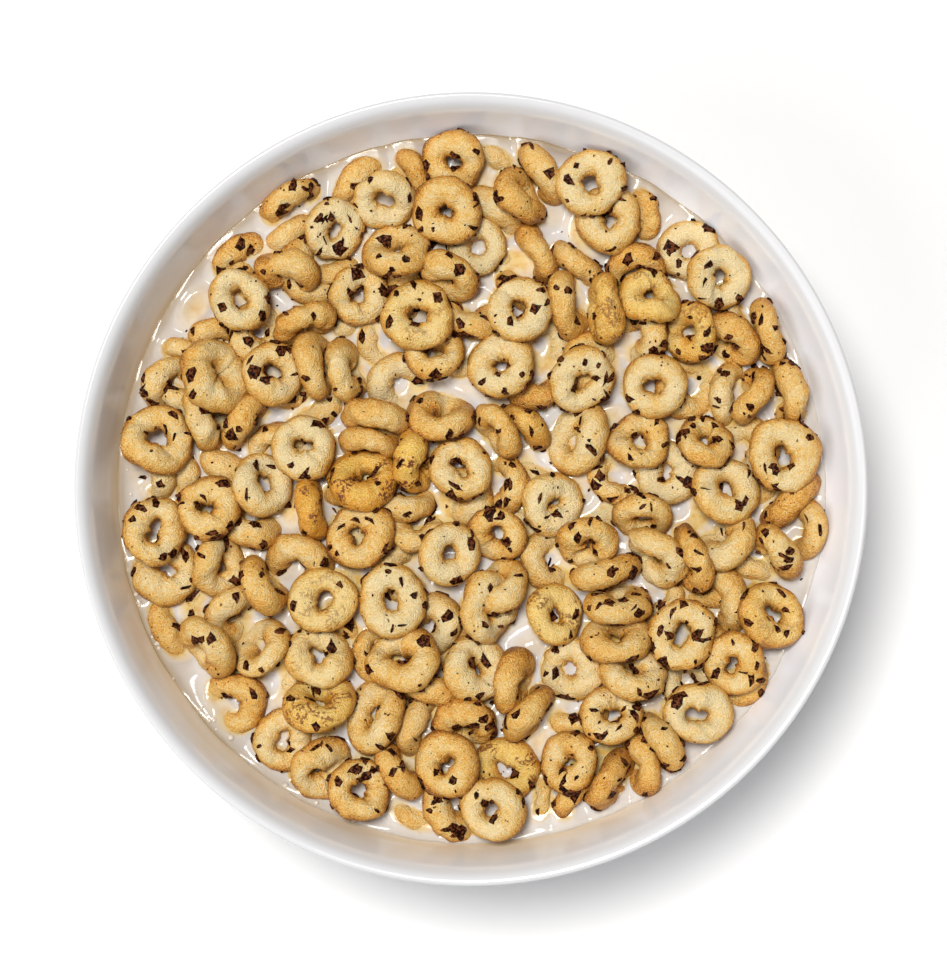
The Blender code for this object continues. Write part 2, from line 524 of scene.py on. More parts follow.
def smooth_step(values: Array, low: float, high: float) -> Array:
    """Rises smoothly from 0 at low to 1 at high: t * t * (3 - 2 t), with t the share of the way."""
    share = np.clip((values - low) / (high - low), 0.0, 1.0)
    return share * share * (3.0 - 2.0 * share)


# ---------------------------------------------------------------------------------------------
# Bowl
# ---------------------------------------------------------------------------------------------


@dataclass
class Bowl:
    """The round bowl: two half ellipses turned about the Z axis, a rounded lip and a foot ring."""

    outer_axes: tuple[float, float] = (76.7 * MM, 76.0 * MM)
    inner_axes: tuple[float, float] = (74.0 * MM, 69.0 * MM)
    ellipse_centre: float = 77.0 * MM
    foot_outer: float = 31.0 * MM
    foot_inner: float = 27.0 * MM
    foot_height: float = 5.0 * MM
    foot_recess: float = 3.5 * MM
    foot_rounding: float = 0.8 * MM
    lip_rise: float = 0.55 * MM
    lip_drop: float = 3.4 * MM
    sides: int = 256
    streak_seed: int = 3
    rim: float = field(init=False)
    height: float = field(init=False)

    def __post_init__(self) -> None:
        """Reads the rim and the height from the frame."""
        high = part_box("bowl")[1]
        self.rim = high.x
        self.height = high.z

    def inner_radius(self, height: Array | float) -> Array | float:
        """Radius of the inside at a height: a * sqrt(1 - ((c - z) / b) ** 2)."""
        drop = (self.ellipse_centre - height) / self.inner_axes[1]
        return self.inner_axes[0] * np.sqrt(np.clip(1.0 - drop * drop, 0.0, 1.0))

    def _wall(self, axes: tuple[float, float], low: float, high: float, count: int) -> Array:
        """Points up an ellipse: (a cos t, c - b sin t), for t from the low to the high height."""
        start = math.asin(min(1.0, (self.ellipse_centre - low) / axes[1]))
        end = math.asin((self.ellipse_centre - high) / axes[1])
        angle = np.linspace(start, end, count)
        return np.stack([axes[0] * np.cos(angle), self.ellipse_centre - axes[1] * np.sin(angle)], -1)

    @staticmethod
    def _round(centre: tuple[float, float], radius: float, start: float, end: float, count: int) -> Array:
        """Points round an arc: centre + radius * (cos t, sin t)."""
        angle = np.linspace(start, end, count)
        return np.stack([centre[0] + radius * np.cos(angle), centre[1] + radius * np.sin(angle)], -1)

    def _foot(self) -> Array:
        """From the middle of the hollow under the floor, round the foot ring, to its outer side."""
        edge = self.foot_rounding
        flat = np.stack([np.linspace(0.0, self.foot_inner - 1.6 * MM, 8), np.full(8, self.foot_recess)], -1)
        return np.concatenate(
            [
                flat,
                self._round(
                    (self.foot_inner - 1.5 * MM, self.foot_recess - 1.5 * MM),
                    1.5 * MM, math.pi / 2.0, 0.0, 6,
                ),
                self._round((self.foot_inner + edge, edge), edge, math.pi, 1.5 * math.pi, 6),
                self._round((self.foot_outer - edge, edge), edge, 1.5 * math.pi, TURN, 6),
            ]
        )

    def _fillet(self, start: Array, end: Array, count: int = 9) -> Array:
        """A soft corner between foot and body."""
        return parabola(start, np.array([start[0], end[1] - 0.6 * MM]), end, count)

    def _lip(self, outer: Array, inner: Array, count: int = 13) -> Array:
        """The rim: a quarter ellipse up to the crest, then a parabola that eases into the inside.

        The parabola's corner is where its end tangents meet.
        """
        angle = np.linspace(0.0, math.pi / 2.0, count)[1:]
        crest = self.rim - self.lip_rise
        rise = self.height - outer[1]
        rounding = np.stack([crest + self.lip_rise * np.cos(angle), outer[1] + rise * np.sin(angle)], -1)
        drop = self.height - inner[1]
        slope = (inner[0] - self.inner_radius(inner[1] - 0.5 * MM)) / (0.5 * MM)
        corner = np.array([inner[0] + slope * drop, self.height])
        return np.concatenate([rounding, parabola(rounding[-1], corner, inner, count)])

    def profile(self) -> Array:
        """The whole section, from the axis under the floor round to the axis on the inside."""
        top = self.height - self.lip_rise
        foot = self._foot()
        body_foot = self.foot_height + 4.0 * MM
        outside = self._wall(self.outer_axes, body_foot, top, 60)
        outside[:, 0] += smooth_step(outside[:, 1], 0.5 * self.height, top) * (self.rim - outside[-1, 0])
        low = self.ellipse_centre - self.inner_axes[1]
        inside = self._wall(self.inner_axes, low, self.height - self.lip_drop, 70)
        inside[0, 0] = 0.0
        fillet = self._fillet(np.array([self.foot_outer, self.foot_height - 1.5 * MM]), outside[0])
        return np.concatenate([foot, fillet, outside, self._lip(outside[-1], inside[-1]), inside[::-1]])

    def build(self) -> bpy.types.Object:
        """Turns the profile, and closes both its ends on the axis.

        Returns:
            The bowl, glazed all over but for the edge that it stands on.
        """
        profile = self.profile()
        ring = profile[1:-1]
        ends = np.array([[0.0, 0.0, profile[0, 1]], [0.0, 0.0, profile[-1, 1]]])
        points = np.concatenate([turn_section(ring, self.sides), ends])
        quads = grid_quads(len(ring), self.sides, False, True)
        here = np.arange(self.sides)
        last = (len(ring) - 1) * self.sides
        under, inner = len(points) - 2, len(points) - 1
        caps = np.concatenate([fan(under, here, False), fan(inner, last + here, True)])
        item = make_mesh("bowl_glazed", points, quads, caps)
        self._mark_glaze(item, points, len(ring))
        dress(item, Glaze().build(), "glaze", "bowl")
        item.data.materials.append(BareClay().build())
        rows = np.repeat(ring[:-1, 1] + ring[1:, 1], self.sides) / 2.0
        bare = np.zeros(len(item.data.polygons), np.int32)
        bare[: len(rows)] = rows < 0.35 * self.foot_rounding
        item.data.polygons.foreach_set("material_index", bare)
        return item

    @staticmethod
    def painted_reflection_side(angle: Array) -> Array:
        """How strong the painted reflection of the rings and the painted shade are round the inside: a soft
        step in cos(t - 222 degrees).
        """
        return 0.04 + 0.96 * smooth_step(np.cos(angle - math.radians(222.0)), -0.6, 0.5)

    def _mark_glaze(self, item: bpy.types.Object, points: Array, rows: int) -> None:
        """Marks the lip for its painted shade, the inner wall for its painted light, and the brown streaks
        low on the inside, which are a painted reflection of the rings with painted shade.

        A streak is 1/2 + 1/2 of the mean of cos(m t + n z + f) over a few whole m, with t the
        angle about the axis. It fades with height, and is next to nothing at the back and the right.
        """
        angle = np.arctan2(points[:, 1], points[:, 0])
        z = points[:, 2]
        row = np.minimum(np.arange(len(points)) // self.sides, rows)
        crest = np.argmax(points[: rows * self.sides, 2]) // self.sides
        inside = (row >= crest).astype(float)
        draw = np.random.default_rng(self.streak_seed)
        turns, rises = np.array([2, 5, 9, 14, 23]), np.array([900.0, 1500.0, 2300.0, 3100.0, 4200.0])
        waves = np.cos(angle[:, None] * turns + z[:, None] * rises + draw.uniform(0.0, TURN, len(turns)))
        streaks = np.clip(0.55 + 0.45 * waves.mean(1) * 2.0, 0.0, 1.0)
        side = self.painted_reflection_side(angle)
        height = np.clip((z - 49.0 * MM) / (1.5 * MM + 9.5 * MM * side), 0.0, 1.0)
        # Painted reflection and shade: brown streaks just above the milk, strongest at the front left, fading
        # upwards.
        store(item, "painted_reflection", inside * (1.0 - height) * side * (0.70 + 0.30 * streaks))
        # Painted light: mask of the inner wall that is painted paler and cooler.
        store(item, "pool", inside * (1.0 - smooth_step(z, 58.0 * MM, 61.5 * MM)))
        # Painted shade: mask of the top of the rim, which is painted darker.
        store(item, "lip", smooth_step(z, 59.4 * MM, 61.4 * MM))


# ---------------------------------------------------------------------------------------------
# Cereal rings
# ---------------------------------------------------------------------------------------------


def turned_frames(normals: Array, headings: Array) -> Array:
    """Three axes for each ring: the third is its normal, the first points its own way.

    Args:
        normals: (N, 3) unit vectors.
        headings: (N,) angles of the first axis about the normal.

    Returns:
        (N, 3, 3) matrices whose rows are the axes.
    """
    helper = np.where(np.abs(normals[:, 2:]) < 0.9, [[0.0, 0.0, 1.0]], [[1.0, 0.0, 0.0]])
    first = np.cross(helper, normals)
    first /= np.linalg.norm(first, axis=1, keepdims=True)
    second = np.cross(normals, first)
    cos, sin = np.cos(headings)[:, None], np.sin(headings)[:, None]
    return np.stack([cos * first + sin * second, cos * second - sin * first, normals], 1)


class Lie(Enum):
    """How a ring lies: its lean in degrees, and its height over the milk's level in millimetres."""

    ON_TOP = (13.0, 5.2)
    PROPPED = (33.0, 3.8)
    AFLOAT = (10.0, 1.0)
    SUNK = (16.0, -0.9)
    LEANING = (52.0, 1.6)
    ON_EDGE = (74.0, 2.2)
    SUNK_EDGE = (62.0, -0.4)


TOP, PROP, FLAT, SUNK = Lie.ON_TOP, Lie.PROPPED, Lie.AFLOAT, Lie.SUNK
LEAN, EDGE, DEEP = Lie.LEANING, Lie.ON_EDGE, Lie.SUNK_EDGE

# The rings that show most, from the back of the bowl to the front: across and along in
# millimetres, the side that the ring leans to in degrees, and how it lies.
LAID_RINGS: tuple[tuple[float, float, float, Lie], ...] = (
    (-4, 61, 90, TOP), (-13, 63, 200, DEEP), (-22, 61, 300, DEEP), (12, 61, 220, LEAN),
    (5, 63, 250, DEEP), (22, 58, 250, TOP), (-16, 55, 270, PROP), (-34, 54, 310, LEAN),
    (-26, 50, 40, FLAT), (-5, 54, 90, FLAT), (9, 55, 40, EDGE), (4, 54, 200, SUNK),
    (26, 51, 240, FLAT), (24, 48, 270, SUNK), (33, 54, 180, DEEP), (33, 48, 20, SUNK),
    (1, 47, 80, FLAT), (-14, 45, 90, LEAN), (11, 45, 180, DEEP), (21, 43, 50, DEEP),
    (41, 45, 200, FLAT), (47, 40, 10, TOP), (-43, 44, 310, DEEP), (-34, 41, 250, EDGE),
    (-31, 42, 60, SUNK), (-5, 40, 230, LEAN), (0, 35, 40, DEEP), (32, 42, 250, SUNK),
    (-53, 35, 310, SUNK), (-50, 30, 310, DEEP), (-44, 36, 70, PROP), (-32, 32, 300, EDGE),
    (-22, 37, 20, FLAT), (-10, 33, 100, TOP), (10, 34, 80, TOP), (17, 35, 10, LEAN),
    (25, 35, 180, EDGE), (34, 37, 60, PROP), (42, 30, 180, PROP), (50, 28, 200, LEAN),
    (56, 30, 190, EDGE), (32, 29, 210, LEAN), (-7, 26, 100, PROP), (6, 24, 130, PROP),
    (-17, 29, 60, SUNK), (24, 25, 20, LEAN), (14, 27, 330, SUNK), (-58, 21, 320, LEAN),
    (-50, 21, 20, PROP), (-38, 22, 45, TOP), (-30, 24, 0, EDGE), (-24, 22, 30, EDGE),
    (-41, 30, 120, SUNK), (-13, 20, 260, SUNK), (35, 20, 150, TOP), (43, 20, 60, SUNK),
    (53, 17, 160, EDGE), (60, 18, 190, EDGE), (21, 20, 300, PROP), (12, 20, 140, DEEP),
    (-59, 10, 40, TOP), (-50, 13, 0, EDGE), (-55, 17, 250, DEEP), (-43, 14, 330, LEAN),
    (-32, 8, 90, TOP), (-18, 13, 250, LEAN), (-20, 8, 270, EDGE), (-6, 14, 90, LEAN),
    (5, 11, 225, LEAN), (10, 12, 50, EDGE), (21, 10, 180, LEAN), (32, 9, 90, PROP),
    (45, 10, 95, PROP), (60, 6, 300, TOP), (-11, 5, 0, EDGE), (-20, 2, 90, FLAT),
    (-2, 4, 60, TOP), (7, 2, 160, SUNK), (28, 2, 90, SUNK), (14, 4, 70, SUNK),
    (37, 3, 200, SUNK), (49, 0, 60, PROP), (53, 8, 180, DEEP), (61, -2, 120, DEEP),
    (-57, 2, 200, DEEP), (-46, 5, 60, DEEP), (-40, 1, 45, PROP), (-50, -4, 80, TOP),
    (-30, -4, 0, EDGE), (-62, 3, 340, SUNK), (15, -3, 30, FLAT), (-1, -2, 220, SUNK),
    (-13, -2, 100, DEEP), (33, -6, 270, PROP), (40, -4, 30, SUNK), (65, -7, 0, LEAN),
    (-60, -8, 50, TOP), (-42, -7, 60, DEEP), (-21, -8, 180, TOP), (-4, -12, 0, TOP),
    (5, -9, 270, PROP), (22, -11, 250, PROP), (26, -16, 270, EDGE), (36, -13, 230, LEAN),
    (42, -13, 200, EDGE), (49, -11, 140, LEAN), (58, -12, 220, EDGE), (-58, -16, 90, SUNK),
    (-48, -15, 310, LEAN), (-33, -14, 270, DEEP), (-40, -18, 40, EDGE), (14, -13, 60, SUNK),
    (-13, -16, 40, SUNK), (5, -18, 100, PROP), (-28, -21, 120, TOP), (-15, -22, 30, TOP),
    (4, -23, 10, TOP), (16, -24, 30, PROP), (28, -22, 90, LEAN), (37, -21, 100, SUNK),
    (48, -22, 190, DEEP), (57, -24, 45, TOP), (-46, -24, 330, LEAN), (-57, -26, 20, DEEP),
    (-50, -30, 220, EDGE), (-40, -30, 130, LEAN), (-7, -26, 170, SUNK), (40, -28, 90, TOP),
    (28, -28, 110, PROP), (20, -34, 210, SUNK), (-29, -32, 60, FLAT), (-13, -32, 130, PROP),
    (1, -34, 60, PROP), (8, -37, 0, EDGE), (30, -35, 90, PROP), (49, -33, 200, PROP),
    (53, -37, 150, SUNK), (41, -36, 100, SUNK), (-46, -41, 30, SUNK), (-29, -40, 90, PROP),
    (-38, -37, 160, SUNK), (-9, -38, 90, DEEP), (-18, -43, 180, LEAN), (-1, -45, 270, LEAN),
    (12, -43, 320, LEAN), (19, -42, 150, SUNK), (27, -43, 140, TOP), (43, -43, 50, TOP),
    (-36, -48, 20, FLAT), (-24, -48, 30, SUNK), (36, -48, 220, EDGE), (-13, -53, 40, LEAN),
    (-5, -53, 180, PROP), (19, -52, 160, PROP), (7, -53, 60, FLAT), (-29, -53, 330, LEAN),
    (-21, -57, 60, TOP), (27, -55, 320, EDGE), (33, -53, 180, LEAN), (4, -61, 130, TOP),
    (-10, -61, 60, SUNK), (20, -60, 330, DEEP), (-4, -62, 20, DEEP), (48, 18, 20, DEEP),
)

TOASTED: tuple[tuple[int, int], ...] = (
    (-11, 5), (-20, 2), (-30, -4), (7, -53), (-29, -40), (16, -24), (34, 37), (25, 35), (42, 30),
    (10, 12), (-28, -21), (-10, 33), (24, 25), (57, -24), (-29, -32), (22, -11),
)


@dataclass
class RingHeap:
    """The rings: their sizes and shapes, where they lie, and their surface.

    A ring is a bent tube. With u round the ring and v round the tube, its centre line has the
    radius C(u) = R (1 + e cos 2(u - a) + g cos 3(u - b)), and its tube has the radius
    T(u, v) = t (1 + p cos(u - c) - q cos 2(u - a) + lumps(u, v) - pinch(u) - fold(u, v)).
    """

    bowl: Bowl
    level: float
    count: int = 288
    seed: int = 4
    mean_radius: float = 3.93 * MM
    mean_tube: float = 2.53 * MM
    batches: int = 8
    round_steps: int = 44
    tube_steps: int = 22

    def __post_init__(self) -> None:
        """Draws each ring's size and shape."""
        self.rng = np.random.default_rng(self.seed)
        draw, count = self.rng, self.count
        size = np.clip(draw.normal(1.0, 0.05, count), 0.88, 1.12)
        self.radius = self.mean_radius * size * draw.normal(1.0, 0.03, count)
        self.tube = self.mean_tube * size * np.clip(draw.normal(1.0, 0.05, count), 0.90, 1.12)
        self.oval = np.abs(draw.normal(0.03, 0.06, count)).clip(0.0, 0.15)
        self.slit = draw.uniform(0.0, 0.15, count)
        self.egg = draw.normal(0.0, 0.025, count)
        self.fat = draw.uniform(0.0, 0.12, count)
        self.flat = draw.uniform(0.88, 1.04, count)
        self.bend = draw.normal(0.0, 0.35, count) * MM
        self.pinch = np.abs(draw.normal(0.0, 0.07, count))
        self.fold = np.abs(draw.normal(0.04, 0.06, count)).clip(0.0, 0.16)
        self.phases = draw.uniform(0.0, TURN, (count, 7))
        self.waves = np.array(
            [(2, 1), (3, 0), (4, 2), (5, 1), (6, 3), (7, 2), (3, 2), (9, 1), (8, 4), (11, 3), (1, 2), (13, 2)]
        )
        wave_size = 0.068 / np.hypot(self.waves[:, 0], 1.4 * self.waves[:, 1]) ** 0.55
        self.lump = draw.normal(0.0, 1.0, (count, len(self.waves))) * wave_size
        self.lump_phase = draw.uniform(0.0, TURN, (count, len(self.waves)))
        self.toast = np.clip(draw.normal(0.30, 0.13, count), 0.08, 0.60)
        self.roasted = np.zeros(count)
        for index, row in enumerate(LAID_RINGS):
            if row[:2] in TOASTED:
                self.roasted[index] = 1.0 - 0.055 * TOASTED.index(row[:2])

    # -- where they lie ------------------------------------------------------------------------

    def _free_places(self, taken: Array, wanted: int) -> Array:
        """Places between the laid rings, the emptiest first, out of a sunflower spiral.

        Place i of n is at the radius r sqrt((i + 1/2) / n), turned by i golden angles.
        """
        index = np.arange(900)
        reach = 61.5 * MM * np.sqrt((index + 0.5) / len(index))
        angle = index * GOLDEN_ANGLE
        spiral = np.stack([reach * np.cos(angle), reach * np.sin(angle)], -1)
        chosen = list(taken)
        for _ in range(wanted):
            apart = np.linalg.norm(spiral[:, None] - np.array(chosen)[None], axis=-1).min(1)
            chosen.append(spiral[np.argmax(apart)])
        return np.array(chosen[len(taken):])

    def scatter(self) -> None:
        """First places: the laid rings where they belong, and the rest sunk between them."""
        draw = self.rng
        laid = np.array([row[:3] for row in LAID_RINGS]) * [MM, MM, math.radians(1.0)]
        lies = np.array([row[3].value for row in LAID_RINGS])
        self.laid = len(laid)
        rest = self.count - self.laid
        across = np.concatenate([laid[:, :2], self._free_places(laid[:, :2], rest)])
        height = np.concatenate([lies[:, 1], draw.uniform(-3.0, -1.2, rest)]) * MM
        self.centre = np.column_stack([across, self.level + height])
        self.home = self.centre.copy()
        lean = np.radians(np.concatenate([lies[:, 0], np.abs(draw.normal(0.0, 40.0, rest)).clip(0, 85)]))
        lean += draw.normal(0.0, 0.05, self.count)
        heading = np.concatenate([laid[:, 2], draw.uniform(0.0, TURN, rest)])
        self.normal = np.stack(
            [np.sin(lean) * np.cos(heading), np.sin(lean) * np.sin(heading), np.cos(lean)], -1
        )

    def _beads(self, beads: int) -> tuple[Array, Array]:
        """Points spaced round each ring's centre line, (N, beads, 3), and their arms from its centre."""
        frames = turned_frames(self.normal, np.zeros(self.count))
        angle = (np.arange(beads) * TURN / beads)[None, :, None]
        arms = np.cos(angle) * frames[:, None, 0] + np.sin(angle) * frames[:, None, 1]
        arms = arms * self.radius[:, None, None]
        return self.centre[:, None] + arms, arms

    def _near(self, reach: float) -> tuple[Array, Array]:
        """Pairs of rings whose centres are nearer than reach."""
        apart = np.linalg.norm(self.centre[:, None] - self.centre[None], axis=-1)
        return np.nonzero(np.triu(apart < reach, 1))

    def settle(self, steps: int = 320, beads: int = 12) -> None:
        """Lets the rings push apart and lean on each other, without bouncing.

        Each ring is a string of beads. Two beads that overlap push each other apart by a share of
        the overlap, the bowl pushes a bead inwards, and a spring draws each ring to its home. The
        pushes move the ring, and their moments turn it.
        """
        tube = self.tube[:, None]
        hold = np.where(np.arange(self.count) < self.laid, 0.10, 0.04)[:, None] * [1.0, 1.0, 0.6]
        resting = self.normal.copy()
        for step in range(steps):
            if step % 12 == 0:
                first, second = self._near(15.0 * MM)
            points, arms = self._beads(beads)
            push = np.zeros_like(points)
            gap = points[first][:, :, None] - points[second][:, None]
            apart = np.linalg.norm(gap, axis=-1)
            wanted = (self.tube[first] + self.tube[second])[:, None, None] * 0.97
            overlap = np.clip(wanted - apart, 0.0, None)
            share = gap * (overlap / np.maximum(apart, 0.05 * MM))[..., None] * 0.30
            np.add.at(push, first, share.sum(2))
            np.add.at(push, second, -share.sum(1))
            across = np.linalg.norm(points[..., :2], axis=-1)
            room = self.bowl.inner_radius(np.minimum(points[..., 2], self.bowl.height)) - tube - 0.2 * MM
            beyond = np.clip(across - room, 0.0, None)
            push[..., :2] -= points[..., :2] * (beyond / across)[..., None] * 0.5
            self.centre += push.sum(1) / 4.0 + (self.home - self.centre) * hold
            turn = np.cross(arms, push).sum(1) / (4.0 * self.radius[:, None] ** 2)
            turn += np.cross(self.normal, resting) * 0.06
            size = np.linalg.norm(turn, axis=1, keepdims=True)
            turn *= np.minimum(1.0, 0.12 / np.maximum(size, 1e-9))
            self.normal += np.cross(turn, self.normal)
            self.normal /= np.linalg.norm(self.normal, axis=1, keepdims=True)
            self.centre[:, 2] = np.minimum(self.centre[:, 2], self.bowl.height - 7.5 * MM)
        self.frames = turned_frames(self.normal, self.rng.uniform(0.0, TURN, self.count))

    # -- their surface -------------------------------------------------------------------------

    def centre_line(self, ring: Array, u: Array) -> tuple[Array, Array]:
        """Radius C(u) of the centre line, and its rise w cos 2(u - d) out of the ring's plane."""
        phase = self.phases[ring]
        line = 1.0 + self.oval[ring] * np.cos(2.0 * (u - phase[..., 0]))
        line = line + self.egg[ring] * np.cos(3.0 * (u - phase[..., 1]))
        return self.radius[ring] * line, self.bend[ring] * np.cos(2.0 * (u - phase[..., 3]))

    def tube_radius(self, ring: Array, u: Array, v: Array) -> Array:
        """T(u, v).

        lumps(u, v) is the sum of s_k cos(m_k u + n_k v + f_k). The pinch, where the ring was
        closed, is a bell curve in u. The fold is a groove along v = h + 0.6 sin(u + k) with a
        bell curve for its section, and it fades out round half of the ring.
        """
        phase = self.phases[ring]
        turns = u[..., None] * self.waves[:, 0] + v[..., None] * self.waves[:, 1]
        share = 1.0 + (self.lump[ring] * np.cos(turns + self.lump_phase[ring])).sum(-1)
        share = share + self.fat[ring] * np.cos(u - phase[..., 2])
        share = share - self.slit[ring] * np.cos(2.0 * (u - phase[..., 0]))
        share = share - self.pinch[ring] * np.exp((np.cos(u - phase[..., 4]) - 1.0) / 0.03)
        across = np.cos(v - phase[..., 5] - 0.6 * np.sin(u + phase[..., 6])) - 1.0
        along = 0.5 + 0.5 * np.cos(u - phase[..., 3])
        return self.tube[ring] * (share - self.fold[ring] * along * np.exp(across / 0.04))

    def surface(self, ring: Array, u: Array, v: Array, lift: Array | float = 0.0) -> Array:
        """Points ((C + (T + lift) cos v) (cos u, sin u), rise + (T + lift) f sin v), set in place.

        Args:
            ring: index of the ring, for each point.
            u: angle round the ring.
            v: angle round the tube, 0 on its outer side and a quarter turn on top.
            lift: height above the surface.

        Returns:
            Places in metres, with one more axis than the arguments.
        """
        line, rise = self.centre_line(ring, u)
        tube = self.tube_radius(ring, u, v) + lift
        out = line + tube * np.cos(v)
        local = np.stack([out * np.cos(u), out * np.sin(u), rise + tube * self.flat[ring] * np.sin(v)], -1)
        return self.centre[ring] + np.einsum("...i,...ij->...j", local, self.frames[ring])

    def spine(self, beads: int = 26) -> tuple[Array, Array]:
        """Points along every centre line and the tube's radius there, as flat arrays."""
        ring, u = np.meshgrid(np.arange(self.count), np.arange(beads) * TURN / beads, indexing="ij")
        line, rise = self.centre_line(ring, u)
        local = np.stack([line * np.cos(u), line * np.sin(u), rise], -1)
        points = self.centre[ring] + np.einsum("...i,...ij->...j", local, self.frames[ring])
        return points.reshape(-1, 3), (self.tube[ring] * 0.97).reshape(-1)

    def build(self) -> list[bpy.types.Object]:
        """Makes the rings, in batches that are spread over the whole heap.

        Returns:
            The pieces.
        """
        material = CerealFinish().build()
        u_steps = np.arange(self.round_steps) * TURN / self.round_steps
        v_steps = np.arange(self.tube_steps) * TURN / self.tube_steps
        faces = grid_quads(self.round_steps, self.tube_steps, True, True)[:, ::-1]
        i, j = np.meshgrid(np.arange(self.round_steps), np.arange(self.tube_steps), indexing="ij")
        flat = np.stack([np.stack([i, i, i + 1, i + 1], -1), np.stack([j, j + 1, j + 1, j], -1)], -1)
        flat = flat.reshape(-1, 4, 2)[:, ::-1] / [self.round_steps, self.tube_steps]
        made = []
        for batch in range(self.batches):
            rings = np.arange(batch, self.count, self.batches)
            ring, u, v = np.meshgrid(rings, u_steps, v_steps, indexing="ij")
            points = self.surface(ring, u, v)
            start = np.arange(len(rings)) * self.round_steps * self.tube_steps
            quads = (faces[None] + start[:, None, None]).reshape(-1, 4)
            item = make_mesh(f"cereal_rings_{batch + 1}", points.reshape(-1, 3), quads)
            store_map(item, spread_cells(flat, len(rings), 5))
            # Stores toasting together with painted shade.
            store(item, "toast", self._toast_and_shade(ring, u, v))
            store(item, "roasted", self.roasted[ring])
            store(item, "wet", smooth_step(self.level + 2.2 * MM - points[..., 2], 0.0, 2.0 * MM))
            dress(item, material, "cereal", *(["cereal"] if batch == 0 else []))
            made.append(item)
        return made

    def _toast_and_shade(self, ring: Array, u: Array, v: Array) -> Array:
        """How toasted a point is, with painted shade added: the outer side and the hole are darker, partly
        toasting and partly painted shade, and what faces away from up gets painted shade.

        The painted shade follows the surface's upward share, cos v (cos u, sin u) . (x, y)
        + sin v n, with x, y and n the upward parts of the ring's three axes.
        """
        phase = self.lump_phase[ring]
        patches = np.cos(2.0 * u + phase[..., 0]) + np.cos(3.0 * u - v + phase[..., 1])
        # The outer side and the hole: partly toasting, partly painted shade.
        sides = smooth_step(np.cos(v), 0.15, 0.95) * 0.24 + smooth_step(-np.cos(v), 0.45, 1.0) * 0.20
        upward = self.frames[ring][..., 2]
        facing = np.cos(v) * (np.cos(u) * upward[..., 0] + np.sin(u) * upward[..., 1])
        facing = facing + np.sin(v) * upward[..., 2]
        # Painted shade: darker where the surface faces away from up.
        bare = 1.0 - smooth_step(facing, 0.15, 1.0)
        return self.toast[ring] + sides + 0.62 * bare - 0.18 + 0.06 * patches


# ---------------------------------------------------------------------------------------------
# Milk
# ---------------------------------------------------------------------------------------------


